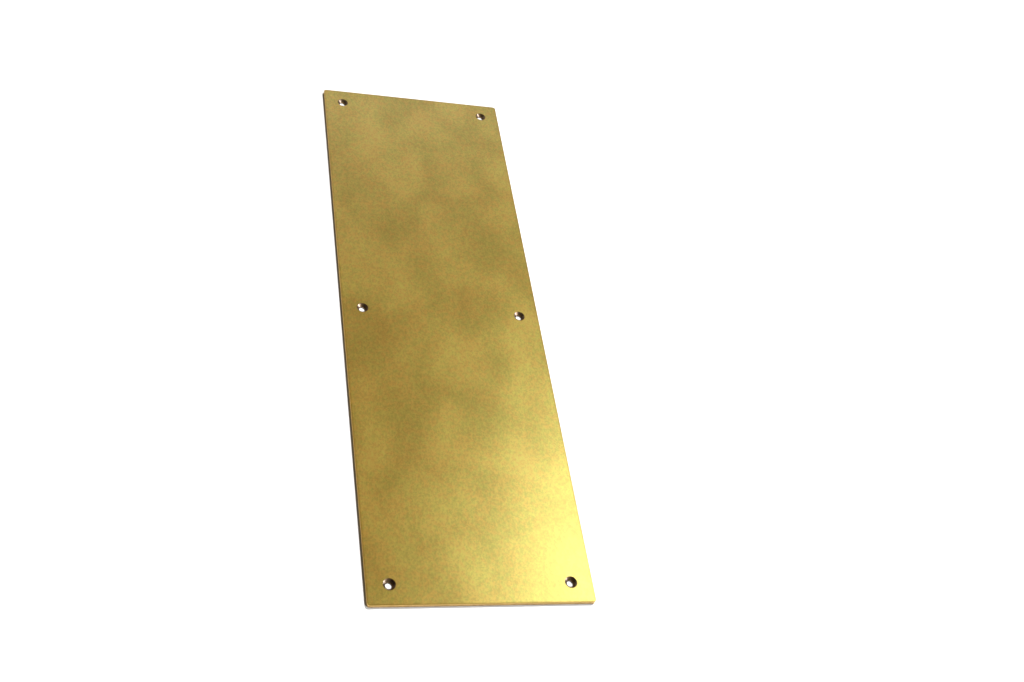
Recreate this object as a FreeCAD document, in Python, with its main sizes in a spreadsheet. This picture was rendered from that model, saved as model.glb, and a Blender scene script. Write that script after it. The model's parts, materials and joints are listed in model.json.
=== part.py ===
# Kick plate: one rectangular brass sheet with rounded corners and six countersunk screw holes.
#
# The plate lies flat. X runs across its width, Y along its length and Z out of its face.
# The origin is the middle of the back face, the side that rests on the door.
# Sizes are in millimetres and degrees.
import FreeCAD, Part
import math
import os
import Sketcher

ON_PLANE = 1e-6        # two heights this close together count as the same height
VOLUME_MATCH = 1e-4    # largest share by which the drilled volume may differ from the sum

# The dimensions that everything else follows from. The holes take a No. 8 countersunk screw.
DRIVING_DIMENSIONS = {
    "plate_length": 475.0,
    "plate_width": 150.0,
    "plate_thickness": 3.0,
    "corner_radius": 2.0,
    "face_edge_radius": 0.35,
    "side_inset": 15.0,
    "end_inset": 14.3,
    "hole_columns": 2,
    "hole_rows": 3,
    "screw_hole_diameter": 4.5,
    "countersink_diameter": 8.2,
    "countersink_angle": 90.0,
}

# Numbers that Sketcher gives to the origin and to the ends and middle of a line or circle.
ORIGIN = -1
START = 1
END = 2
CENTRE = 3


def add_sizes(doc):
    """Put the driving dimensions in a spreadsheet, one named cell each."""
    sheet = doc.addObject("Spreadsheet::Sheet", "Sizes")
    for row, (name, value) in enumerate(DRIVING_DIMENSIONS.items(), start=1):
        sheet.set(f"A{row}", name)
        sheet.set(f"B{row}", str(value))
        sheet.setAlias(f"B{row}", name)
    doc.recompute()
    return sheet


def origin_feature(body, role):
    """Return the body's own origin plane or axis that has this role."""
    return next(item for item in body.Origin.OriginFeatures if item.Role == role)


def flat_sketch(body, name):
    """Start a sketch on the plane of the back face."""
    sketch = body.newObject("Sketcher::SketchObject", name)
    sketch.AttachmentSupport = [(origin_feature(body, "XY_Plane"), "")]
    sketch.MapMode = "FlatFace"
    return sketch


def bind_distance(sketch, kind, ends, length, expression):
    """Add a distance to a sketch and tie it to the sheet."""
    number = sketch.addConstraint(Sketcher.Constraint(kind, *ends, length))
    sketch.setExpression(f"Constraints[{number}]", expression)


def outline_sketch(body, sheet):
    """Draw the plate's outline as a rectangle centred on the origin."""
    sketch = flat_sketch(body, "PlateOutline")
    half_width = sheet.plate_width / 2
    half_length = sheet.plate_length / 2
    corners = [
        FreeCAD.Vector(-half_width, -half_length, 0),
        FreeCAD.Vector(half_width, -half_length, 0),
        FreeCAD.Vector(half_width, half_length, 0),
        FreeCAD.Vector(-half_width, half_length, 0),
    ]
    near, right, far, left = range(len(corners))
    for side, corner in enumerate(corners):
        following = (side + 1) % len(corners)
        sketch.addGeometry(Part.LineSegment(corner, corners[following]), False)
    for side in range(len(corners)):
        following = (side + 1) % len(corners)
        sketch.addConstraint(Sketcher.Constraint("Coincident", side, END, following, START))
    for side in (near, far):
        sketch.addConstraint(Sketcher.Constraint("Horizontal", side))
    for side in (left, right):
        sketch.addConstraint(Sketcher.Constraint("Vertical", side))
    sketch.addConstraint(Sketcher.Constraint("Symmetric", near, START, far, START, ORIGIN, START))
    bind_distance(sketch, "DistanceX", (near, START, near, END), sheet.plate_width, "Sizes.plate_width")
    bind_distance(sketch, "DistanceY", (right, START, right, END), sheet.plate_length, "Sizes.plate_length")
    return sketch


def first_hole_sketch(body, sheet):
    """Draw the screw hole nearest the -X, -Y corner, at the height of the plate's face."""
    sketch = flat_sketch(body, "FirstHoleCentre")
    sketch.setExpression("AttachmentOffset.Base.z", "Sizes.plate_thickness")
    across = sheet.side_inset - sheet.plate_width / 2
    along = sheet.end_inset - sheet.plate_length / 2
    up = FreeCAD.Vector(0, 0, 1)
    circle = Part.Circle(FreeCAD.Vector(across, along, 0), up, sheet.screw_hole_diameter / 2)
    hole = sketch.addGeometry(circle, False)
    from_origin = (ORIGIN, START, hole, CENTRE)
    bind_distance(sketch, "DistanceX", from_origin, across, "Sizes.side_inset - Sizes.plate_width / 2")
    bind_distance(sketch, "DistanceY", from_origin, along, "Sizes.end_inset - Sizes.plate_length / 2")
    diameter = sketch.addConstraint(Sketcher.Constraint("Diameter", hole, sheet.screw_hole_diameter))
    sketch.setExpression(f"Constraints[{diameter}]", "Sizes.screw_hole_diameter")
    return sketch


def is_upright(edge):
    """Tell whether an edge runs straight up through the thickness."""
    start = edge.Vertexes[0].Point
    end = edge.Vertexes[-1].Point
    return math.hypot(end.x - start.x, end.y - start.y) < ON_PLANE


def fillet(body, name, base, wanted, radius_cell):
    """Round the edges of a feature that pass a test."""
    edges = [f"Edge{number}" for number, edge in enumerate(base.Shape.Edges, start=1) if wanted(edge)]
    feature = body.newObject("PartDesign::Fillet", name)
    feature.Base = (base, edges)
    feature.setExpression("Radius", f"Sizes.{radius_cell}")
    return feature


def countersunk_hole(body, sketch):
    """Drill and countersink one hole from the face right through to the back."""
    hole = body.newObject("PartDesign::Hole", "ScrewHole")
    hole.Profile = sketch
    hole.ThreadType = "None"
    hole.DepthType = "ThroughAll"
    hole.setExpression("Diameter", "Sizes.screw_hole_diameter")
    hole.HoleCutType = "Countersink"
    hole.HoleCutCustomValues = True
    hole.setExpression("HoleCutDiameter", "Sizes.countersink_diameter")
    hole.setExpression("HoleCutCountersinkAngle", "Sizes.countersink_angle")
    return hole


def repeat_hole(body, hole):
    """Repeat the hole in columns across the plate and rows along it."""
    pattern = body.newObject("PartDesign::LinearPattern", "ScrewHoles")
    pattern.Originals = [hole]
    pattern.Direction = (origin_feature(body, "X_Axis"), [""])
    pattern.setExpression("Length", "Sizes.plate_width - 2 * Sizes.side_inset")
    pattern.setExpression("Occurrences", "Sizes.hole_columns")
    pattern.Direction2 = (origin_feature(body, "Y_Axis"), [""])
    pattern.setExpression("Length2", "Sizes.plate_length - 2 * Sizes.end_inset")
    pattern.setExpression("Occurrences2", "Sizes.hole_rows")
    return pattern


def kick_plate(doc, sheet):
    """Build the plate: cut the sheet, round its corners, ease its face's edge and drill it."""
    body = doc.addObject("PartDesign::Body", "KickPlate")
    body.Label = "kick_plate"

    blank = body.newObject("PartDesign::Pad", "Blank")
    blank.Profile = outline_sketch(body, sheet)
    blank.setExpression("Length", "Sizes.plate_thickness")
    doc.recompute()

    rounded = fillet(body, "RoundedCorners", blank, is_upright, "corner_radius")
    doc.recompute()

    def is_on_face(edge):
        return all(abs(point.Z - sheet.plate_thickness) < ON_PLANE for point in edge.Vertexes)

    eased = fillet(body, "EasedFaceEdge", rounded, is_on_face, "face_edge_radius")
    doc.recompute()

    sketch = first_hole_sketch(body, sheet)
    doc.recompute()
    hole = countersunk_hole(body, sketch)
    doc.recompute()
    pattern = repeat_hole(body, hole)
    body.Tip = pattern
    body.Placement = FreeCAD.Placement()
    doc.recompute()
    check_drilling(sheet, eased.Shape.Volume - body.Shape.Volume)
    return body


def check_drilling(sheet, removed_volume):
    """Stop unless the drilling took away as much brass as all the countersunk holes hold."""
    hole_radius = sheet.screw_hole_diameter / 2
    rim_radius = sheet.countersink_diameter / 2
    half_angle = math.radians(sheet.countersink_angle / 2)
    cone_depth = (rim_radius - hole_radius) / math.tan(half_angle)
    cone = math.pi * cone_depth * (rim_radius**2 + rim_radius * hole_radius + hole_radius**2) / 3
    straight = math.pi * hole_radius**2 * (sheet.plate_thickness - cone_depth)
    expected = sheet.hole_columns * sheet.hole_rows * (cone + straight)
    if abs(removed_volume - expected) > VOLUME_MATCH * expected:
        raise RuntimeError(f"drilling removed {removed_volume:.3f} mm3, not {expected:.3f} mm3")


def check_document(doc, sub_parts):
    """Stop if any object failed to compute or any sub-part has no sound shape."""
    for item in doc.Objects:
        if "Invalid" in item.State or "Error" in item.State:
            raise RuntimeError(f"{item.Label} did not compute: {item.State}")
    for sub_part in sub_parts:
        if sub_part.Shape.isNull() or not sub_part.Shape.isValid():
            raise RuntimeError(f"{sub_part.Label} has no valid shape")


def export(sub_parts):
    """Write each sub-part to a STEP file named after it."""
    os.makedirs("parts", exist_ok=True)
    for sub_part in sub_parts:
        sub_part.Shape.exportStep(f"parts/{sub_part.Label}.step")
        bounds = sub_part.Shape.optimalBoundingBox(False, False)
        size = f"{bounds.XLength:.2f} x {bounds.YLength:.2f} x {bounds.ZLength:.2f} mm"
        print(f"{sub_part.Label}: {size}, {sub_part.Shape.Volume:.1f} mm3")


document = FreeCAD.newDocument("KickPlate")
sizes = add_sizes(document)
plates = [kick_plate(document, sizes)]
check_document(document, plates)
export(plates)
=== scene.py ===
"""Satin brass kick plate with six countersunk screw holes, lying on a pale studio floor.

The plate lies flat with its face up. X runs across its width, Y along its length and Z out of its
face, and the origin is the middle of its back face. Lengths are in metres unless a name says
otherwise, and angles are in degrees.
"""

import json
import logging
import math
from abc import ABC, abstractmethod
from dataclasses import dataclass, field
from enum import Enum
from typing import Any, Callable, Sequence

import bmesh
import bpy
from mathutils import Matrix, Vector, noise

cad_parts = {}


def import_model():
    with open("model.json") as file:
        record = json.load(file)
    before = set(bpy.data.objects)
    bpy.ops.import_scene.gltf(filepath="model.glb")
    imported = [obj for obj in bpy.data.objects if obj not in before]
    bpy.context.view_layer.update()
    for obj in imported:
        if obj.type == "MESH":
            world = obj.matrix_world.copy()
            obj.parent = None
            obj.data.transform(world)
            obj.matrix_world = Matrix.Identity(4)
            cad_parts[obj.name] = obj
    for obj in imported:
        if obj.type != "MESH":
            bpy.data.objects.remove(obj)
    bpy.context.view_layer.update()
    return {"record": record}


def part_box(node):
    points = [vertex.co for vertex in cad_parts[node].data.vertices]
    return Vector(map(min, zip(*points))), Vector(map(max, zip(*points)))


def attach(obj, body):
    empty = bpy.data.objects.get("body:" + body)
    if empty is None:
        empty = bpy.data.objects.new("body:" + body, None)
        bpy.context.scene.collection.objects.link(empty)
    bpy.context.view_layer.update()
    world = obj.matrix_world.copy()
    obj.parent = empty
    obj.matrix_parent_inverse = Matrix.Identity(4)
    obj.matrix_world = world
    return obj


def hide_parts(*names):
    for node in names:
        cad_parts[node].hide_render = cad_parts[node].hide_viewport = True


Colour = tuple[float, float, float]
Socket = bpy.types.NodeSocket
Value = Socket | float

MM = 0.001
ACROSS = (1.0, 0.0, 0.0)
UP = (0.0, 0.0, 1.0)
LOG = logging.getLogger("kick_plate")


class Zone(Enum):
    """The parts of the plate's surface that are finished differently, in material slot order."""

    FACE = 0
    EDGE = 1
    COUNTERSINK = 2
    BORE = 3
    BACK = 4


# ------------------------------------------------------------------------------------------------
# Shader graphs


class Graph:
    """Adds and links the nodes of one material or world."""

    def __init__(self, owner: bpy.types.ID) -> None:
        """Start an empty graph.

        Args:
            owner: The material or world whose node tree is filled.
        """
        owner.use_nodes = True
        self.tree: bpy.types.NodeTree = owner.node_tree
        self.tree.nodes.clear()

    def add(self, kind: str, **settings: Any) -> bpy.types.Node:
        """Add a node.

        Args:
            kind: The node's Blender type, without the ShaderNode at its front.
            **settings: Properties of the node to set.

        Returns:
            The new node.
        """
        node = self.tree.nodes.new("ShaderNode" + kind)
        for name, value in settings.items():
            setattr(node, name, value)
        return node

    def feed(self, target: Socket, value: Any) -> None:
        """Link a socket to another, or set its own value.

        Args:
            target: The input socket.
            value: Another node's output socket, or a plain value.
        """
        if isinstance(value, bpy.types.NodeSocket):
            self.tree.links.new(value, target)
        else:
            target.default_value = value

    def place(self) -> Socket:
        """Give the point's place on the object, in metres."""
        return self.add("TexCoord").outputs["Object"]

    def normal(self) -> Socket:
        """Give the surface's direction outwards."""
        return self.add("NewGeometry").outputs["Normal"]

    def parts(self, vector: Socket) -> tuple[Socket, Socket, Socket]:
        """Split a vector.

        Args:
            vector: The vector to split.

        Returns:
            Its X, Y and Z.
        """
        node = self.add("SeparateXYZ")
        self.feed(node.inputs["Vector"], vector)
        return node.outputs["X"], node.outputs["Y"], node.outputs["Z"]

    def join(self, x: Value, y: Value, z: Value) -> Socket:
        """Make a vector.

        Args:
            x: Its X.
            y: Its Y.
            z: Its Z.

        Returns:
            The vector.
        """
        node = self.add("CombineXYZ")
        for name, value in (("X", x), ("Y", y), ("Z", z)):
            self.feed(node.inputs[name], value)
        return node.outputs["Vector"]

    def sum_of(self, operation: str, *values: Value) -> Socket:
        """Do one sum on one, two or three numbers.

        Args:
            operation: The Math node's name for the sum.
            *values: The numbers.

        Returns:
            The answer.
        """
        node = self.add("Math", operation=operation)
        for number, value in enumerate(values):
            self.feed(node.inputs[number], value)
        return node.outputs["Value"]

    def vector_sum(self, operation: str, first: Any, second: Any = (0.0, 0.0, 0.0)) -> Socket:
        """Do one sum on one or two vectors.

        Args:
            operation: The Vector Math node's name for the sum.
            first: The first vector.
            second: The second vector.

        Returns:
            The answer, a number for a length or a dot product.
        """
        node = self.add("VectorMath", operation=operation)
        self.feed(node.inputs[0], first)
        self.feed(node.inputs[1], second)
        is_number = operation in ("LENGTH", "DOT_PRODUCT")
        return node.outputs["Value" if is_number else "Vector"]

    def weigh(self, share: float, first: Socket, second: Socket) -> Socket:
        """Mix two numbers.

        Args:
            share: How much of the first there is, from 0 to 1.
            first: The first number.
            second: The second number.

        Returns:
            The mixed number.
        """
        weighed = self.sum_of("MULTIPLY", first, share)
        return self.sum_of("ADD", weighed, self.sum_of("MULTIPLY", second, 1.0 - share))

    def blend(self, share: Value, first: Any, second: Any, how: str = "MIX") -> Socket:
        """Mix two colours.

        Args:
            share: How much of the second colour there is, from 0 to 1.
            first: The first colour.
            second: The second colour.
            how: The Mix node's name for the way that they mix.

        Returns:
            The mixed colour.
        """
        node = self.add("Mix", data_type="RGBA", blend_type=how)
        self.feed(node.inputs["Factor"], share)
        colours = [socket for socket in node.inputs if socket.type == "RGBA"]
        for socket, value in zip(colours, (first, second)):
            self.feed(socket, value if isinstance(value, bpy.types.NodeSocket) else (*value, 1.0))
        return next(socket for socket in node.outputs if socket.type == "RGBA")

    def relief(self, height: Socket, depth: float, under: Socket | None = None) -> Socket:
        """Turn a height into a bump.

        Args:
            height: The height, from 0 to 1.
            depth: What a height of 1 stands for, in metres.
            under: A coarser bump that this one lies on.

        Returns:
            The new normal.
        """
        node = self.add("Bump")
        self.feed(node.inputs["Strength"], 1.0)
        self.feed(node.inputs["Distance"], depth)
        self.feed(node.inputs["Height"], height)
        if under is not None:
            self.feed(node.inputs["Normal"], under)
        return node.outputs["Normal"]


@dataclass(frozen=True)
class Ramp:
    """Turns one range of a number smoothly into another, and holds it at both ends."""

    low: float
    high: float
    at_low: float = 0.0
    at_high: float = 1.0

    def over(self, graph: Graph, value: Socket) -> Socket:
        """Work the ramp out for a number.

        Args:
            graph: The graph to add to.
            value: The number.

        Returns:
            The new number.
        """
        node = graph.add("MapRange", interpolation_type="SMOOTHSTEP", clamp=True)
        for name, number in (("Value", value), ("From Min", self.low), ("From Max", self.high),
                             ("To Min", self.at_low), ("To Max", self.at_high)):
            graph.feed(node.inputs[name], number)
        return node.outputs["Result"]


@dataclass(frozen=True)
class Pattern:
    """A pattern of soft random patches: how large and rough they are, and how they lie.

    The detail is how many finer layers there are and sharp is how strong each one is. The squeeze
    is how much the patches are narrowed along X, Y and Z, after a turn about Z in degrees.
    """

    size: float
    detail: float = 2.0
    sharp: float = 0.6
    swirl: float = 0.0
    squeeze: tuple[float, float, float] = (1.0, 1.0, 1.0)
    turn: float = 0.0
    shift: tuple[float, float, float] = (0.0, 0.0, 0.0)

    def over(self, graph: Graph, place: Socket) -> Socket:
        """Work the pattern out for a place.

        Args:
            graph: The graph to add to.
            place: The place on the object.

        Returns:
            A number about 0.5, from 0 to 1.
        """
        rotate = graph.add("VectorRotate", rotation_type="Z_AXIS")
        graph.feed(rotate.inputs["Vector"], graph.vector_sum("ADD", place, self.shift))
        graph.feed(rotate.inputs["Angle"], math.radians(self.turn))
        noise_node = graph.add("TexNoise", noise_dimensions="3D")
        laid = graph.vector_sum("MULTIPLY", rotate.outputs["Vector"], self.squeeze)
        graph.feed(noise_node.inputs["Vector"], laid)
        graph.feed(noise_node.inputs["Scale"], 1.0 / self.size)
        graph.feed(noise_node.inputs["Detail"], self.detail)
        graph.feed(noise_node.inputs["Roughness"], self.sharp)
        graph.feed(noise_node.inputs["Distortion"], self.swirl)
        return noise_node.outputs["Fac"]


# ------------------------------------------------------------------------------------------------
# Finishes


@dataclass(frozen=True, kw_only=True)
class Brass(ABC):
    """Bare brass, as one tool or process leaves it.

    The grain pull is how far highlights are drawn out, from 0 to 1.
    """

    name: str
    colour: Colour
    roughness: float
    grain_pull: float

    def material(self) -> bpy.types.Material:
        """Make the finish's material.

        Returns:
            The new material.
        """
        made = bpy.data.materials.new(self.name)
        graph = Graph(made)
        shader = graph.add("BsdfPrincipled")
        shader.inputs["Metallic"].default_value = 1.0
        shader.inputs["Anisotropic"].default_value = self.grain_pull
        place = graph.place()
        graph.feed(shader.inputs["Base Color"], self.tint(graph, place))
        graph.feed(shader.inputs["Roughness"], self.dullness(graph, place))
        graph.feed(shader.inputs["Normal"], self.relief(graph, place))
        graph.feed(shader.inputs["Tangent"], self.grain(graph))
        output = graph.add("OutputMaterial")
        graph.feed(output.inputs["Surface"], shader.outputs["BSDF"])
        made.diffuse_color = (*self.colour, 1.0)
        return made

    @abstractmethod
    def tint(self, graph: Graph, place: Socket) -> Socket:
        """Give the colour at a place."""

    @abstractmethod
    def dullness(self, graph: Graph, place: Socket) -> Socket:
        """Give the roughness at a place."""

    @abstractmethod
    def relief(self, graph: Graph, place: Socket) -> Socket:
        """Give the normal at a place."""

    @abstractmethod
    def grain(self, graph: Graph) -> Socket:
        """Give the direction that highlights are drawn out in."""


@dataclass(frozen=True, kw_only=True)
class SatinFace(Brass):
    """The rubbed face: fine marks across the width, with the cloudy bloom of unlacquered brass.

    The hue drifts between warm and green brass, and the shade follows the clouds, spots, specks and
    strokes. A ragged darker line at the rim is partly tarnish and partly painted shade that damps the
    rounded rim's highlight, and the face is darker in a ragged ring round each countersink.
    """

    half_width: float
    half_length: float
    hole_across: float
    hole_along: float
    sink_radius: float
    name: str = "satin_face"
    colour: Colour = (0.885, 0.662, 0.192)
    warm: Colour = (0.98, 0.60, 0.18)
    green: Colour = (0.79, 0.70, 0.19)
    # The darker brass of the rim line, which is partly tarnish and partly painted shade, and of the ring
    # round each hole.
    darker_brass: Colour = (0.62, 0.38, 0.10)
    roughness: float = 0.305
    grain_pull: float = 0.50

    clouds: Pattern = Pattern(38 * MM, sharp=0.34, swirl=0.5, squeeze=(1.0, 0.75, 1.0), turn=8.0)
    spots: Pattern = Pattern(3.4 * MM, detail=1.0, squeeze=(1.0, 0.75, 1.0))
    specks: Pattern = Pattern(1.2 * MM, detail=1.0, sharp=0.7, squeeze=(1.0, 0.7, 1.0))
    fine_strokes: Pattern = Pattern(0.5 * MM, squeeze=(0.10, 1.0, 1.0), turn=1.5)
    broad_strokes: Pattern = Pattern(1.4 * MM, squeeze=(1.0, 0.12, 1.0), turn=-2.0)
    hue_patches: Pattern = Pattern(28 * MM, sharp=1.0, shift=(0.31, 0.17, 0.0))
    hue_spots: Pattern = Pattern(3.6 * MM, detail=1.0, shift=(0.11, 0.43, 0.0))
    fine_share: float = 0.55
    patch_share: float = 0.50

    warm_share: Ramp = Ramp(0.43, 0.68, 0.0, 0.48)
    green_share: Ramp = Ramp(0.57, 0.32, 0.0, 0.48)
    cloud_shade: Ramp = Ramp(0.26, 0.74, 0.88, 1.11)
    spot_shade: Ramp = Ramp(0.30, 0.70, 0.972, 1.028)
    speck_shade: Ramp = Ramp(0.30, 0.70, 0.91, 1.09)
    stroke_shade: Ramp = Ramp(0.30, 0.70, 0.97, 1.03)
    # Painted shade along the rim, partly tarnish: how strongly the face darkens near its rim.
    rim_tarnish_and_painted_shade: Ramp = Ramp(0.2 * MM, 1.6 * MM, 0.70, 0.0)
    # How strongly the face darkens in a ring round each countersink.
    hole_ring_darkening: Ramp = Ramp(0.0, 1.0 * MM, 0.35, 0.0)
    darkening_wander: float = 2.2 * MM
    cloud_dullness: Ramp = Ramp(0.3, 0.7, -0.010, 0.010)
    stroke_dullness: Ramp = Ramp(0.3, 0.7, -0.012, 0.012)
    spot_depth: float = 0.0020 * MM
    stroke_depth: float = 0.0004 * MM

    def rim_gap(self, graph: Graph, place: Socket) -> Socket:
        """Measure how far a place is from the nearest side or end of the plate.

        Args:
            graph: The material's graph.
            place: The place on the object.

        Returns:
            The distance.
        """
        x, y, _ = graph.parts(place)
        side = graph.sum_of("SUBTRACT", self.half_width, graph.sum_of("ABSOLUTE", x))
        end = graph.sum_of("SUBTRACT", self.half_length, graph.sum_of("ABSOLUTE", y))
        return graph.sum_of("MINIMUM", side, end)

    def hole_gap(self, graph: Graph, place: Socket) -> Socket:
        """Measure how far a place is from the rim of the nearest countersink.

        Args:
            graph: The material's graph.
            place: The place on the object.

        Returns:
            The distance.
        """
        x, y, _ = graph.parts(place)
        across = graph.sum_of("SUBTRACT", graph.sum_of("ABSOLUTE", x), self.hole_across)
        along = graph.sum_of("ABSOLUTE", y)
        from_end_hole = graph.sum_of("ABSOLUTE", graph.sum_of("SUBTRACT", along, self.hole_along))
        from_nearest = graph.sum_of("MINIMUM", along, from_end_hole)
        distance = graph.vector_sum("LENGTH", graph.join(across, from_nearest, 0.0))
        return graph.sum_of("SUBTRACT", distance, self.sink_radius)

    def strokes(self, graph: Graph, place: Socket) -> Socket:
        """Give the rubbing marks, the fine ones across the width and the broad ones down the length.

        Args:
            graph: The material's graph.
            place: The place on the object.

        Returns:
            A number about 0.5, from 0 to 1.
        """
        fine = self.fine_strokes.over(graph, place)
        broad = self.broad_strokes.over(graph, place)
        return graph.weigh(self.fine_share, fine, broad)

    def shade(self, graph: Graph, place: Socket) -> Socket:
        """Give how much lighter or darker a place is than plain brass.

        Args:
            graph: The material's graph.
            place: The place on the object.

        Returns:
            A number about 1 to multiply the colour by.
        """
        shade = self.cloud_shade.over(graph, self.clouds.over(graph, place))
        spots = self.spot_shade.over(graph, self.spots.over(graph, place))
        specks = self.speck_shade.over(graph, self.specks.over(graph, place))
        strokes = self.stroke_shade.over(graph, self.strokes(graph, place))
        for layer in (spots, specks, strokes):
            shade = graph.sum_of("MULTIPLY", shade, layer)
        return shade

    def tint(self, graph: Graph, place: Socket) -> Socket:
        """Give the colour at a place.

        Args:
            graph: The material's graph.
            place: The place on the object.

        Returns:
            The colour.
        """
        patches = self.hue_patches.over(graph, place)
        hue = graph.weigh(self.patch_share, patches, self.hue_spots.over(graph, place))
        colour = graph.blend(self.warm_share.over(graph, hue), self.colour, self.warm)
        colour = graph.blend(self.green_share.over(graph, hue), colour, self.green)
        shade = self.shade(graph, place)
        colour = graph.blend(1.0, colour, graph.join(shade, shade, shade), "MULTIPLY")
        middle = 0.5
        wander = graph.sum_of("MULTIPLY", graph.sum_of("SUBTRACT", hue, middle), self.darkening_wander)
        from_rim = graph.sum_of("ADD", self.rim_gap(graph, place), wander)
        # Painted shade: the ragged rim line is darkened, partly for tarnish and partly to damp the
        # rounded rim's highlight.
        colour = graph.blend(self.rim_tarnish_and_painted_shade.over(graph, from_rim), colour, self.darker_brass)
        from_hole = graph.sum_of("ADD", self.hole_gap(graph, place), wander)
        # The face is also darkened in a ragged ring round each countersink.
        return graph.blend(self.hole_ring_darkening.over(graph, from_hole), colour, self.darker_brass)

    def dullness(self, graph: Graph, place: Socket) -> Socket:
        """Give the roughness at a place.

        Args:
            graph: The material's graph.
            place: The place on the object.

        Returns:
            The roughness.
        """
        bloom = self.cloud_dullness.over(graph, self.clouds.over(graph, place))
        marks = self.stroke_dullness.over(graph, self.strokes(graph, place))
        return graph.sum_of("ADD", graph.sum_of("ADD", bloom, marks), self.roughness)

    def relief(self, graph: Graph, place: Socket) -> Socket:
        """Give the normal at a place."""
        soft = graph.relief(self.spots.over(graph, place), self.spot_depth)
        return graph.relief(self.strokes(graph, place), self.stroke_depth, soft)

    def grain(self, graph: Graph) -> Socket:
        """Give the direction along the length, across the fine rubbing marks."""
        return graph.vector_sum("CROSS_PRODUCT", graph.normal(), ACROSS)


@dataclass(frozen=True, kw_only=True)
class MilledEdge(Brass):
    """The milled sides: marks run round the plate, browner than the face."""

    name: str = "milled_edge"
    colour: Colour = (0.74, 0.49, 0.17)
    stain: Colour = (0.45, 0.26, 0.08)
    roughness: float = 0.30
    grain_pull: float = 0.0
    patches: Pattern = Pattern(6 * MM, detail=3.0)
    cutter_lines: Pattern = Pattern(0.22 * MM, detail=3.0)
    line_stretch: float = 0.05
    patch_stain: Ramp = Ramp(0.4, 0.7, 0.0, 0.5)
    line_stain: Ramp = Ramp(0.35, 0.7, 0.0, 0.35)
    line_dullness: Ramp = Ramp(0.3, 0.7, -0.04, 0.04)
    line_depth: float = 0.004 * MM

    def marks(self, graph: Graph, place: Socket) -> Socket:
        """Give the cutter's lines, long round the plate and fine through its thickness.

        Args:
            graph: The material's graph.
            place: The place on the object.

        Returns:
            A number about 0.5, from 0 to 1.
        """
        x, y, z = graph.parts(place)
        around = graph.sum_of("MULTIPLY", graph.sum_of("ADD", x, y), self.line_stretch)
        return self.cutter_lines.over(graph, graph.join(around, 0.0, z))

    def tint(self, graph: Graph, place: Socket) -> Socket:
        """Give the colour at a place.

        Args:
            graph: The material's graph.
            place: The place on the object.

        Returns:
            The colour.
        """
        patches = self.patch_stain.over(graph, self.patches.over(graph, place))
        colour = graph.blend(patches, self.colour, self.stain)
        return graph.blend(self.line_stain.over(graph, self.marks(graph, place)), colour, self.stain)

    def dullness(self, graph: Graph, place: Socket) -> Socket:
        """Give the roughness at a place."""
        marks = self.line_dullness.over(graph, self.marks(graph, place))
        return graph.sum_of("ADD", marks, self.roughness)

    def relief(self, graph: Graph, place: Socket) -> Socket:
        """Give the normal at a place."""
        return graph.relief(self.marks(graph, place), self.line_depth)

    def grain(self, graph: Graph) -> Socket:
        """Give the direction round the plate."""
        return graph.vector_sum("CROSS_PRODUCT", UP, graph.normal())


@dataclass(frozen=True, kw_only=True)
class TurnedSeat(Brass):
    """A countersink or bore: fine rings left by the cutter as it turned, on a dark brown that paints the
    shade inside the holes.
    """

    name: str = "countersink_seat"
    # Painted shade: the seat is a dark brown, far darker than the face's brass, standing for the shade on
    # the walls inside the holes.
    colour: Colour = (0.31, 0.21, 0.13)
    stain: Colour = (0.20, 0.11, 0.05)
    roughness: float = 0.31
    grain_pull: float = 0.0
    patches: Pattern = Pattern(1.8 * MM, detail=3.0)
    drift: Pattern = Pattern(9 * MM, detail=1.0, sharp=0.5)
    cutter_rings: Pattern = Pattern(0.16 * MM, sharp=0.55, squeeze=(0.02, 0.02, 1.0))
    drift_height: float = 0.25 * MM
    patch_stain: Ramp = Ramp(0.45, 0.75, 0.0, 0.5)
    ring_dullness: Ramp = Ramp(0.3, 0.7, -0.04, 0.04)
    ring_depth: float = 0.0035 * MM

    def rings(self, graph: Graph, place: Socket) -> Socket:
        """Give the cutter's rings, which lie nearly level round the hole.

        Args:
            graph: The material's graph.
            place: The place on the object.

        Returns:
            A number about 0.5, from 0 to 1.
        """
        lift = graph.sum_of("MULTIPLY", self.drift.over(graph, place), self.drift_height)
        lifted = graph.vector_sum("ADD", place, graph.join(0.0, 0.0, lift))
        return self.cutter_rings.over(graph, lifted)

    def tint(self, graph: Graph, place: Socket) -> Socket:
        """Give the colour at a place."""
        patches = self.patch_stain.over(graph, self.patches.over(graph, place))
        return graph.blend(patches, self.colour, self.stain)

    def dullness(self, graph: Graph, place: Socket) -> Socket:
        """Give the roughness at a place."""
        marks = self.ring_dullness.over(graph, self.rings(graph, place))
        return graph.sum_of("ADD", marks, self.roughness)

    def relief(self, graph: Graph, place: Socket) -> Socket:
        """Give the normal at a place."""
        return graph.relief(self.rings(graph, place), self.ring_depth)

    def grain(self, graph: Graph) -> Socket:
        """Give the direction down the slope, across the rings."""
        around = graph.vector_sum("CROSS_PRODUCT", UP, graph.normal())
        return graph.vector_sum("CROSS_PRODUCT", graph.normal(), around)


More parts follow.
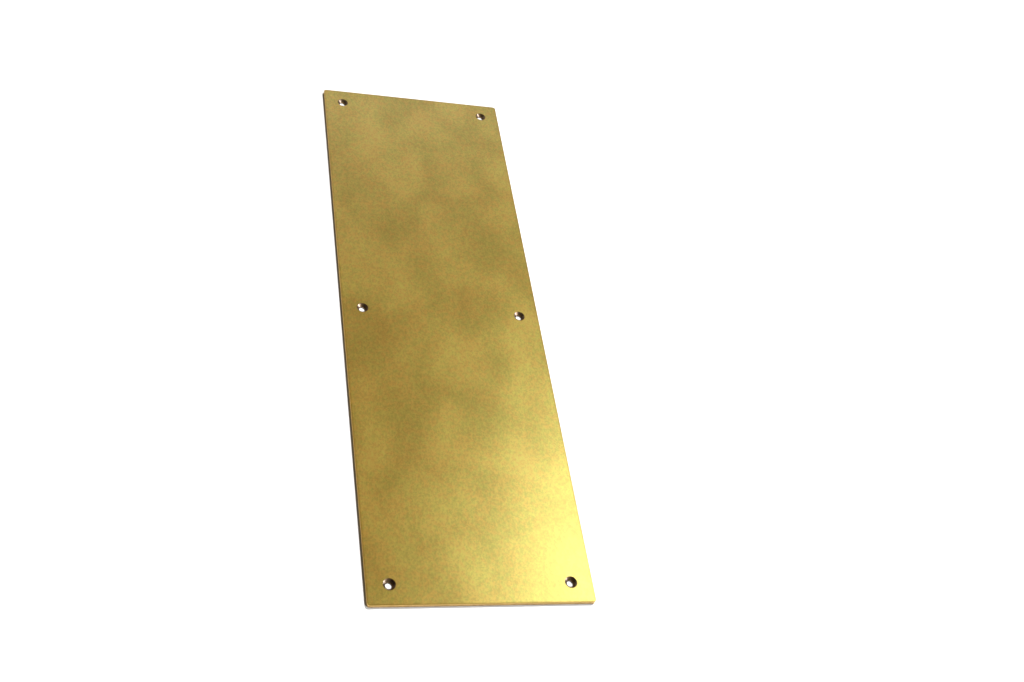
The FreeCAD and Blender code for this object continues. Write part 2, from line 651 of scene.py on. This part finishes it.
@dataclass(frozen=True, kw_only=True)
class MillBack(Brass):
    """The unpolished back: rolling lines along the plate and brown storage stains."""

    name: str = "mill_back"
    colour: Colour = (0.66, 0.48, 0.18)
    stain: Colour = (0.36, 0.23, 0.09)
    roughness: float = 0.36
    grain_pull: float = 0.4
    blots: Pattern = Pattern(30 * MM, detail=5.0, sharp=0.62, swirl=0.8)
    rolling_lines: Pattern = Pattern(0.7 * MM, detail=3.0, squeeze=(1.0, 0.02, 1.0), turn=0.8)
    blot_stain: Ramp = Ramp(0.46, 0.66, 0.0, 0.75)
    line_stain: Ramp = Ramp(0.5, 0.75, 0.0, 0.35)
    blot_dullness: Ramp = Ramp(0.3, 0.7, -0.05, 0.12)
    line_depth: float = 0.006 * MM

    def tint(self, graph: Graph, place: Socket) -> Socket:
        """Give the colour at a place.

        Args:
            graph: The material's graph.
            place: The place on the object.

        Returns:
            The colour.
        """
        blots = self.blot_stain.over(graph, self.blots.over(graph, place))
        colour = graph.blend(blots, self.colour, self.stain)
        lines = self.line_stain.over(graph, self.rolling_lines.over(graph, place))
        return graph.blend(lines, colour, self.stain)

    def dullness(self, graph: Graph, place: Socket) -> Socket:
        """Give the roughness at a place."""
        blots = self.blot_dullness.over(graph, self.blots.over(graph, place))
        return graph.sum_of("ADD", blots, self.roughness)

    def relief(self, graph: Graph, place: Socket) -> Socket:
        """Give the normal at a place."""
        return graph.relief(self.rolling_lines.over(graph, place), self.line_depth)

    def grain(self, graph: Graph) -> Socket:
        """Give the direction down the plate."""
        return graph.vector_sum("CROSS_PRODUCT", graph.normal(), ACROSS)


# ------------------------------------------------------------------------------------------------
# The plate


# How far along each stretch of the surface its mesh lines lie.
PATCH_SHARES = (0.24, 0.46, 0.65, 0.81, 0.93, 1.0)
WALL_SHARES = (0.06, 0.5, 0.94, 1.0)
SEAT_SHARES = (0.08, 0.25, 0.45, 0.65, 0.85, 1.0)
BORE_SHARES = (0.1, 0.5, 0.9, 1.0)


@dataclass(frozen=True)
class Lip:
    """The rounded lip of a countersink: its outer radius on the face, and how far it turns down."""

    radius: float
    turn: float


@dataclass(frozen=True)
class Side:
    """The free lines of one side of the plate, each in order round its edge."""

    rim: list[bmesh.types.BMVert]
    holes: list[list[bmesh.types.BMVert]]


def add_face(shell: bmesh.types.BMesh, corners: Sequence[bmesh.types.BMVert], zone: Zone) -> None:
    """Add one face of the mesh in a zone.

    Args:
        shell: The mesh to add to.
        corners: The face's points in order.
        zone: The face's zone.
    """
    made = shell.faces.new(corners)
    made.material_index = zone.value


def bridge(shell: bmesh.types.BMesh, outer: Sequence[bmesh.types.BMVert],
           inner: Sequence[bmesh.types.BMVert], zone: Zone) -> None:
    """Join two closed lines that have the same number of points.

    Args:
        shell: The mesh to add to.
        outer: The first line.
        inner: The second line.
        zone: The new faces' zone.
    """
    for number in range(len(outer)):
        following = (number + 1) % len(outer)
        add_face(shell, (outer[number], outer[following], inner[following], inner[number]), zone)


def circle_places(centre: tuple[float, float], radius: float, count: int) -> list[tuple[float, float]]:
    """Space points round a circle, from the middle of its lower left quarter.

    Args:
        centre: The circle's centre.
        radius: The circle's radius.
        count: How many points there are.

    Returns:
        The X and Y of each point.
    """
    first = math.radians(-135.0)
    turns = [first + math.tau * number / count for number in range(count)]
    return [(centre[0] + radius * math.cos(turn), centre[1] + radius * math.sin(turn)) for turn in turns]


def nearest(lines: Sequence[float], place: float) -> int:
    """Find the line nearest a place.

    Args:
        lines: The lines' places.
        place: The place.

    Returns:
        The line's number.
    """
    return min(range(len(lines)), key=lambda number: abs(lines[number] - place))


@dataclass
class KickPlate:
    """The plate, as one closed mesh of four-sided faces.

    The face wavers by up to the waviness, and lies true again by the rim and by the holes. The
    patches are the squares round each corner and hole where the mesh lines bend, the cells and
    steps are how many mesh lines each stretch has, and the slack is for rounding in the grid.
    """

    width: float
    length: float
    thickness: float
    hole_centres: list[tuple[float, float]]
    bore_radius: float
    sink_radius: float = 4.1 * MM
    sink_half_angle: float = 45.0
    corner_radius: float = 2.0 * MM
    face_edge_radius: float = 0.35 * MM
    back_chamfer: float = 0.12 * MM
    lip_radius: float = 0.12 * MM
    seat_belly: float = 0.05 * MM
    waviness: float = 0.05 * MM
    wave_size: float = 38 * MM
    wave_squeeze: float = 0.8
    true_by_rim: float = 14 * MM
    true_by_hole: float = 10 * MM
    corner_patch: float = 4.0 * MM
    hole_patch: float = 7.0 * MM
    corner_cells: int = 5
    hole_cells: int = 20
    field_cell: float = 6.0 * MM
    edge_steps: int = 5
    lip_steps: int = 3
    grid_slack: float = 0.01 * MM
    sharp_angle: float = 35.0
    name: str = "brass_plate"

    def finishes(self) -> dict[Zone, Brass]:
        """Choose the finish of each zone.

        Returns:
            The zones' finishes.
        """
        face = SatinFace(
            half_width=self.width / 2,
            half_length=self.length / 2,
            hole_across=max(x for x, _ in self.hole_centres),
            hole_along=max(y for _, y in self.hole_centres),
            sink_radius=self.sink_radius,
        )
        # Painted shade: the bore is given the same kind of dark brown, standing for the shade inside the
        # hole.
        bore = TurnedSeat(name="screw_bore", colour=(0.30, 0.18, 0.08), roughness=0.34, grain_pull=0.4)
        return {
            Zone.FACE: face,
            Zone.EDGE: MilledEdge(),
            Zone.COUNTERSINK: TurnedSeat(),
            Zone.BORE: bore,
            Zone.BACK: MillBack(),
        }

    def build(self) -> bpy.types.Object:
        """Build the plate and dress it.

        Returns:
            The plate's object.
        """
        shell = bmesh.new()
        face = self.sheet_side(shell, True)
        back = self.sheet_side(shell, False)
        self.close_rim(shell, face, back)
        for top, bottom, centre in zip(face.holes, back.holes, self.hole_centres):
            self.close_hole(shell, top, bottom, centre)
        bmesh.ops.recalc_face_normals(shell, faces=shell.faces)
        mesh = bpy.data.meshes.new(self.name)
        shell.to_mesh(mesh)
        shell.free()
        mesh.shade_smooth()
        mesh.set_sharp_from_angle(angle=math.radians(self.sharp_angle))
        finishes = self.finishes()
        for zone in Zone:
            mesh.materials.append(finishes[zone].material())
        plate = bpy.data.objects.new(self.name, mesh)
        bpy.context.collection.objects.link(plate)
        weights = plate.modifiers.new("flat_faces_stay_flat", "WEIGHTED_NORMAL")
        weights.mode = "FACE_AREA"
        weights.keep_sharp = True
        return plate

    def stations(self, half: float, inset: float, hole_places: Sequence[float]) -> list[float]:
        """Space the mesh lines along one axis.

        Args:
            half: Half the plate's size along that axis.
            inset: How far in from the plate's side the outermost line lies.
            hole_places: The hole centres' places along that axis.

        Returns:
            The lines' places, from low to high.
        """
        stops = [inset - half, self.corner_patch - half]
        cells = [self.corner_cells]
        for place in sorted(set(hole_places)):
            cells += [self.field_cells(place - self.hole_patch - stops[-1]), self.hole_cells]
            stops += [place - self.hole_patch, place + self.hole_patch]
        cells += [self.field_cells(half - self.corner_patch - stops[-1]), self.corner_cells]
        stops += [half - self.corner_patch, half - inset]
        lines = [stops[0]]
        for start, end, count in zip(stops, stops[1:], cells):
            lines += [start + (end - start) * step / count for step in range(1, count + 1)]
        return lines

    def field_cells(self, gap: float) -> int:
        """Give how many cells fill a gap between patches."""
        return max(2, round(gap / self.field_cell))

    def rounded(self, x: float, y: float, inset: float) -> tuple[float, float]:
        """Bend a square corner of the mesh to follow the plate's rounded corner.

        Args:
            x: The point's X on the square mesh.
            y: The point's Y on the square mesh.
            inset: How far in from the plate's side the outermost line lies.

        Returns:
            The point's X and Y on the plate.
        """
        patch = self.corner_patch - inset
        base_x = self.width / 2 - self.corner_patch
        base_y = self.length / 2 - self.corner_patch
        u = (abs(x) - base_x) / patch
        v = (abs(y) - base_y) / patch
        if u <= 0 or v <= 0:
            return x, y
        radius = self.corner_radius - inset
        straight = patch - radius

        def along(share: float) -> tuple[float, float]:
            """Follow the outline from the patch's inner side to the middle of the corner.

            Args:
                share: How much of the way to go, from 0 to 1.

            Returns:
                How far along the side the point is, and how far out.
            """
            path = share * (straight + radius * math.pi / 4)
            turn = max(0.0, path - straight) / radius
            return min(path, straight) + radius * math.sin(turn), straight + radius * math.cos(turn)

        end_x, end_y = along(u)
        side_y, side_x = along(v)
        middle, _ = along(1.0)
        bent_x = base_x + v * end_x + u * side_x - u * v * middle
        bent_y = base_y + v * end_y + u * side_y - u * v * middle
        return math.copysign(bent_x, x), math.copysign(bent_y, y)

    def grid(self, inset: float) -> tuple[list[float], list[float]]:
        """Space the mesh lines of one side of the plate.

        Args:
            inset: How far in from the plate's side the outermost line lies.

        Returns:
            The lines' places across the width and along the length.
        """
        across = self.stations(self.width / 2, inset, [x for x, _ in self.hole_centres])
        along = self.stations(self.length / 2, inset, [y for _, y in self.hole_centres])
        return across, along

    def outline(self, inset: float) -> list[tuple[float, float]]:
        """Walk round the plate's outline.

        Args:
            inset: How far in from the plate's side the line lies.

        Returns:
            The X and Y of each mesh line's end, in order round the plate.
        """
        across, along = self.grid(inset)
        square = [(x, along[0]) for x in across[:-1]]
        square += [(across[-1], y) for y in along[:-1]]
        square += [(x, along[-1]) for x in reversed(across[1:])]
        square += [(across[0], y) for y in reversed(along[1:])]
        return [self.rounded(x, y, inset) for x, y in square]

    def face_height(self, x: float, y: float) -> float:
        """Give the height of the rolled face, which dips by a few hundredths between its edges.

        Args:
            x: The place's X.
            y: The place's Y.

        Returns:
            The height above the back face.
        """
        rim_gap = min(self.width / 2 - abs(x), self.length / 2 - abs(y))
        hole_gap = min(math.dist((x, y), centre) for centre in self.hole_centres) - self.sink_radius
        share = min(1.0, max(0.0, rim_gap / self.true_by_rim), max(0.0, hole_gap / self.true_by_hole))
        fade = share * share * (3 - 2 * share)
        wave = 0.5 + 0.5 * noise.noise(Vector((x, y * self.wave_squeeze, 0.0)) / self.wave_size)
        return self.thickness - self.waviness * wave * fade

    def sheet_side(self, shell: bmesh.types.BMesh, is_face: bool) -> Side:
        """Make the face or the back: a grid of lines with a round patch at each hole.

        Args:
            shell: The mesh to add to.
            is_face: True for the face, False for the back.

        Returns:
            The side's outer line and its hole lines.
        """
        inset = self.face_edge_radius if is_face else self.back_chamfer
        zone = Zone.FACE if is_face else Zone.BACK
        hole_radius = self.lip().radius if is_face else self.bore_radius + self.back_chamfer
        across, along = self.grid(inset)

        def point(x: float, y: float) -> bmesh.types.BMVert:
            """Add a point of this side."""
            return shell.verts.new((x, y, self.face_height(x, y) if is_face else 0.0))

        def cut_out(column: int, row: int, margin: float) -> bool:
            """Tell whether a place in the grid lies inside a hole's patch.

            Args:
                column: The place's line across the width.
                row: The place's line along the length.
                margin: How much larger the patch is taken to be.

            Returns:
                Whether it lies inside.
            """
            reach = self.hole_patch + margin
            return any(abs(across[column] - x) < reach and abs(along[row] - y) < reach
                       for x, y in self.hole_centres)

        points = {
            (column, row): point(*self.rounded(across[column], along[row], inset))
            for column in range(len(across))
            for row in range(len(along))
            if not cut_out(column, row, -self.grid_slack)
        }
        for column in range(len(across) - 1):
            for row in range(len(along) - 1):
                corners = [(column, row), (column + 1, row), (column + 1, row + 1), (column, row + 1)]
                inside = all(cut_out(*corner, self.grid_slack) for corner in corners)
                if not inside:
                    add_face(shell, [points[corner] for corner in corners], zone)

        holes = []
        for x, y in self.hole_centres:
            left = nearest(across, x - self.hole_patch)
            near = nearest(along, y - self.hole_patch)
            right = left + self.hole_cells
            far = near + self.hole_cells
            square = [points[column, near] for column in range(left, right)]
            square += [points[right, row] for row in range(near, far)]
            square += [points[column, far] for column in range(right, left, -1)]
            square += [points[left, row] for row in range(far, near, -1)]
            holes.append(self.hole_patch_rings(shell, square, (x, y), hole_radius, point, zone))

        last_column = len(across) - 1
        last_row = len(along) - 1
        rim = [points[column, 0] for column in range(last_column)]
        rim += [points[last_column, row] for row in range(last_row)]
        rim += [points[column, last_row] for column in range(last_column, 0, -1)]
        rim += [points[0, row] for row in range(last_row, 0, -1)]
        return Side(rim, holes)

    def hole_patch_rings(self, shell: bmesh.types.BMesh, square: list[bmesh.types.BMVert],
                         centre: tuple[float, float], radius: float,
                         point: Callable[[float, float], bmesh.types.BMVert],
                         zone: Zone) -> list[bmesh.types.BMVert]:
        """Fill the square patch round a hole with rings that turn from square to round.

        Args:
            shell: The mesh to add to.
            square: The patch's outer points, in order from its lowest corner.
            centre: The hole's centre.
            radius: The hole's radius on this side.
            point: Adds a point of this side.
            zone: The side's zone.

        Returns:
            The points round the hole.
        """
        count = len(square)
        circle = circle_places(centre, radius, count)
        rings = [square]
        for share in PATCH_SHARES:
            ring = []
            for outer, (x, y) in zip(square, circle):
                ring.append(point(outer.co.x + (x - outer.co.x) * share,
                                  outer.co.y + (y - outer.co.y) * share))
            rings.append(ring)
        for outer, inner in zip(rings, rings[1:]):
            bridge(shell, outer, inner, zone)
        return rings[-1]

    def lip(self) -> Lip:
        """Work out the small rounded lip between the face and the countersink."""
        turn = math.radians(90.0 - self.sink_half_angle)
        return Lip(self.sink_radius + self.lip_radius * math.tan(turn / 2), turn)

    def close_rim(self, shell: bmesh.types.BMesh, face: Side, back: Side) -> None:
        """Join the face to the back round the outside: rounded edge, milled wall, small chamfer.

        Args:
            shell: The mesh to add to.
            face: The face's lines.
            back: The back's lines.
        """
        upper = face.rim
        for step in range(1, self.edge_steps + 1):
            turn = math.radians(90.0 * step / self.edge_steps)
            inset = self.face_edge_radius * (1 - math.sin(turn))
            drop = self.face_edge_radius * (1 - math.cos(turn))
            lower = [shell.verts.new((x, y, self.thickness - drop)) for x, y in self.outline(inset)]
            bridge(shell, upper, lower, Zone.FACE)
            upper = lower
        wall_top = self.thickness - self.face_edge_radius
        for share in WALL_SHARES:
            height = wall_top + (self.back_chamfer - wall_top) * share
            lower = [shell.verts.new((x, y, height)) for x, y in self.outline(0.0)]
            bridge(shell, upper, lower, Zone.EDGE)
            upper = lower
        bridge(shell, upper, back.rim, Zone.EDGE)

    def close_hole(self, shell: bmesh.types.BMesh, top: list[bmesh.types.BMVert],
                   bottom: list[bmesh.types.BMVert], centre: tuple[float, float]) -> None:
        """Join the face to the back through one hole: lip, countersink, bore and small chamfer.

        Args:
            shell: The mesh to add to.
            top: The hole's points on the face.
            bottom: The hole's points on the back.
            centre: The hole's centre.
        """
        lip = self.lip()
        slope = math.tan(math.radians(self.sink_half_angle))
        sink_depth = (self.sink_radius - self.bore_radius) / slope
        sink_floor = self.thickness - sink_depth
        rings: list[tuple[Zone, float, float]] = []
        for step in range(1, self.lip_steps + 1):
            turn = lip.turn * step / self.lip_steps
            radius = lip.radius - self.lip_radius * math.sin(turn)
            drop = self.lip_radius * (1 - math.cos(turn))
            rings.append((Zone.COUNTERSINK, radius, self.thickness - drop))
        _, lip_foot, lip_level = rings[-1]
        for share in SEAT_SHARES:
            belly = self.seat_belly * 4 * share * (1 - share)
            radius = lip_foot + (self.bore_radius - lip_foot) * share - belly * math.sin(lip.turn)
            height = lip_level + (sink_floor - lip_level) * share + belly * math.cos(lip.turn)
            rings.append((Zone.COUNTERSINK, radius, height))
        for share in BORE_SHARES:
            height = sink_floor + (self.back_chamfer - sink_floor) * share
            rings.append((Zone.BORE, self.bore_radius, height))
        upper = top
        for zone, radius, height in rings:
            places = circle_places(centre, radius, len(top))
            lower = [shell.verts.new((x, y, height)) for x, y in places]
            bridge(shell, upper, lower, zone)
            upper = lower
        bridge(shell, upper, bottom, Zone.BORE)


# ------------------------------------------------------------------------------------------------
# The studio


@dataclass(frozen=True)
class Softbox:
    """A soft rectangular studio light aimed at the plate."""

    name: str
    toward: tuple[float, float, float]
    distance: float
    width: float
    height: float
    brightness: float
    colour: Colour = (1.0, 1.0, 1.0)

    def hang(self, plate: bpy.types.Object) -> None:
        """Hang the light.

        Args:
            plate: The plate, which is all that it lights.
        """
        lamp = bpy.data.lights.new(self.name, "AREA")
        lamp.shape = "RECTANGLE"
        lamp.size = self.width
        lamp.size_y = self.height
        lamp.energy = self.brightness * math.pi * self.width * self.height
        hang_lamp(lamp, self.colour, self.toward, self.distance, plate)


@dataclass(frozen=True)
class FloorLight:
    """A soft far light that falls only on the floor, where the plate throws its shadow."""

    name: str
    toward: tuple[float, float, float]
    spread: float
    brightness: float
    distance: float = 3.0
    colour: Colour = (1.0, 1.0, 1.0)

    def hang(self, floor: bpy.types.Object) -> None:
        """Hang the light.

        Args:
            floor: The floor, which is all that it lights.
        """
        lamp = bpy.data.lights.new(self.name, "SUN")
        lamp.angle = math.radians(self.spread)
        lamp.energy = self.brightness * math.pi
        hang_lamp(lamp, self.colour, self.toward, self.distance, floor)


def hang_lamp(lamp: bpy.types.Light, colour: Colour, toward: tuple[float, float, float],
              distance: float, lit: bpy.types.Object) -> None:
    """Place a lamp in some direction from the plate, shining back on one object only.

    Args:
        lamp: The lamp.
        colour: The light's colour.
        toward: The direction from the plate.
        distance: How far away the lamp is.
        lit: The object that it lights.
    """
    lamp.color = colour
    light = bpy.data.objects.new(lamp.name, lamp)
    direction = Vector(toward).normalized()
    light.location = direction * distance
    light.rotation_mode = "QUATERNION"
    light.rotation_quaternion = direction.to_track_quat("Z", "Y")
    light.visible_camera = False
    receivers = bpy.data.collections.new(light.name + "_lights")
    receivers.objects.link(lit)
    light.light_linking.receiver_collection = receivers
    bpy.context.collection.objects.link(light)
    LOG.info("light %s", light.name)


@dataclass(frozen=True)
class Room:
    """The soft light of the room: dimmer and warmer behind the far right corner, dark low on the left."""

    calm_toward: tuple[float, float, float] = (0.40, 0.67, 0.63)
    calm: Colour = (0.305, 0.243, 0.110)
    open: Colour = (0.24, 0.23, 0.20)
    left_low: Colour = (0.010, 0.008, 0.008)
    left_high: Colour = (0.09, 0.08, 0.07)
    left_horizon: Colour = (0.62, 0.56, 0.42)
    overhead: Colour = (0.40, 0.37, 0.30)
    backdrop: Colour = (1.0, 1.0, 1.0)
    leftward: tuple[float, float, float] = (-0.94, -0.34, 0.0)
    calm_share: Ramp = Ramp(0.45, 0.85)
    left_climb: Ramp = Ramp(0.40, 0.80)
    horizon_climb: Ramp = Ramp(0.06, 0.16)
    left_share: Ramp = Ramp(0.25, 0.60)
    overhead_share: Ramp = Ramp(0.90, 0.99)

    def paint(self) -> None:
        """Set the scene's world."""
        world = bpy.data.worlds.new("room")
        bpy.context.scene.world = world
        graph = Graph(world)
        direction = graph.add("TexCoord").outputs["Generated"]
        _, _, height = graph.parts(direction)
        calm = graph.vector_sum("DOT_PRODUCT", direction, Vector(self.calm_toward).normalized())
        around = graph.blend(self.calm_share.over(graph, calm), self.open, self.calm)
        left = graph.blend(self.left_climb.over(graph, height), self.left_low, self.left_high)
        left = graph.blend(self.horizon_climb.over(graph, height), self.left_horizon, left)
        leftward = graph.vector_sum("DOT_PRODUCT", direction, self.leftward)
        around = graph.blend(self.left_share.over(graph, leftward), around, left)
        around = graph.blend(self.overhead_share.over(graph, height), around, self.overhead)
        seen = graph.add("LightPath").outputs["Is Camera Ray"]
        background = graph.add("Background")
        graph.feed(background.inputs["Color"], graph.blend(seen, around, self.backdrop))
        output = graph.add("OutputWorld")
        graph.feed(output.inputs["Surface"], background.outputs["Background"])


@dataclass
class Studio:
    """The pale floor, the lights and the room round the plate."""

    floor_radius: float = 12.0
    floor_sides: int = 96
    floor_colour: Colour = (0.50, 0.50, 0.50)
    floor_roughness: float = 0.9
    floor_sheen: float = 0.1
    room: Room = field(default_factory=Room)
    softboxes: tuple[Softbox, ...] = (
        Softbox("high_softbox", (0.436, 0.272, 0.858), 2.0, 0.58, 0.32, 5.8, (0.82, 1.00, 1.05)),
        Softbox("back_softbox", (-0.040, 0.902, 0.431), 2.5, 2.22, 0.42, 1.7, (0.76, 1.00, 1.60)),
        Softbox("front_softbox", (0.660, -0.520, 0.542), 3.0, 0.70, 0.40, 8.0, (1.00, 0.96, 0.92)),
        Softbox("right_softbox", (0.932, -0.115, 0.342), 3.0, 1.30, 1.45, 11.0, (0.85, 1.00, 1.30)),
        Softbox("left_softbox", (-0.56, 0.64, 0.50), 2.5, 1.50, 0.80, 0.8),
    )
    floor_lights: tuple[FloorLight, ...] = (
        FloorLight("floor_key", (0.350, 0.370, 0.860), 4.0, 2.30),
        FloorLight("floor_fill", (0.65, -0.55, 0.52), 20.0, 1.52),
    )

    def set_up(self, plate: bpy.types.Object) -> None:
        """Lay the floor, paint the room and hang the lights.

        Args:
            plate: The plate that the softboxes light.
        """
        floor = self.floor()
        self.room.paint()
        for softbox in self.softboxes:
            softbox.hang(plate)
        for light in self.floor_lights:
            light.hang(floor)
        bpy.context.scene.view_settings.view_transform = "Standard"

    def floor(self) -> bpy.types.Object:
        """Lay a large round floor under the plate.

        Returns:
            The floor's object.
        """
        shell = bmesh.new()
        bmesh.ops.create_circle(shell, cap_ends=True, radius=self.floor_radius, segments=self.floor_sides)
        mesh = bpy.data.meshes.new("floor")
        shell.to_mesh(mesh)
        shell.free()
        made = bpy.data.materials.new("floor_paint")
        graph = Graph(made)
        shader = graph.add("BsdfPrincipled")
        shader.inputs["Base Color"].default_value = (*self.floor_colour, 1.0)
        shader.inputs["Roughness"].default_value = self.floor_roughness
        shader.inputs["Specular IOR Level"].default_value = self.floor_sheen
        output = graph.add("OutputMaterial")
        graph.feed(output.inputs["Surface"], shader.outputs["BSDF"])
        mesh.materials.append(made)
        floor = bpy.data.objects.new("floor", mesh)
        bpy.context.collection.objects.link(floor)
        return floor


@dataclass(frozen=True)
class Camera:
    """A camera that looks down at the plate from its near left corner, tilted to one side."""

    aim: tuple[float, float, float] = (0.0504, -0.0246, 0.003)
    distance: float = 0.9175
    azimuth: float = -26.12
    elevation: float = 48.04
    tilt: float = 22.81
    lens: float = 43.36
    sensor_width: float = 36.0
    nearest_seen: float = 0.02
    farthest_seen: float = 60.0

    def place(self) -> None:
        """Place the camera and make it the scene's own."""
        data = bpy.data.cameras.new("camera")
        data.lens = self.lens
        data.sensor_width = self.sensor_width
        data.clip_start = self.nearest_seen
        data.clip_end = self.farthest_seen
        camera = bpy.data.objects.new("camera", data)
        turn = math.radians(self.azimuth)
        rise = math.radians(self.elevation)
        back = Vector((math.sin(turn) * math.cos(rise), -math.cos(turn) * math.cos(rise), math.sin(rise)))
        level = (-back).to_track_quat("-Z", "Y").to_matrix().to_4x4()
        tilted = level @ Matrix.Rotation(math.radians(self.tilt), 4, "Z")
        camera.matrix_world = Matrix.Translation(Vector(self.aim) + back * self.distance) @ tilted
        bpy.context.collection.objects.link(camera)
        bpy.context.scene.camera = camera


# ------------------------------------------------------------------------------------------------
# Putting it together


def mount_named(record: dict[str, Any], name: str) -> dict[str, Any]:
    """Find a mount in the record.

    Args:
        record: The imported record.
        name: The mount's name.

    Returns:
        The mount.
    """
    return next(mount for mount in record["mounts"] if mount["name"] == name)


def hole_centres(record: dict[str, Any]) -> list[tuple[float, float]]:
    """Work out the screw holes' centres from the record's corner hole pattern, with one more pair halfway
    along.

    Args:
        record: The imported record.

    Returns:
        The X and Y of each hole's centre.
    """
    corners = mount_named(record, "corner_screw_holes")["dims"]
    across = corners["spacing_x_mm"] * MM / 2
    along = corners["spacing_y_mm"] * MM / 2
    return [(x, y) for y in (-along, 0.0, along) for x in (-across, across)]


def main() -> None:
    """Build the plate and the studio round it."""
    logging.basicConfig(level=logging.INFO, format="%(name)s: %(message)s")
    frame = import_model()
    Camera().place()
    low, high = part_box("kick_plate")
    size = high - low
    record = frame["record"]
    bore_radius = mount_named(record, "corner_screw_holes")["dims"]["hole_r_mm"] * MM
    builder = KickPlate(size.x, size.y, size.z, hole_centres(record), bore_radius)
    plate = builder.build()
    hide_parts("kick_plate")
    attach(plate, "root")
    LOG.info("%s: %d faces", plate.name, len(plate.data.polygons))
    Studio().set_up(plate)


if __name__ == "__main__":
    main()
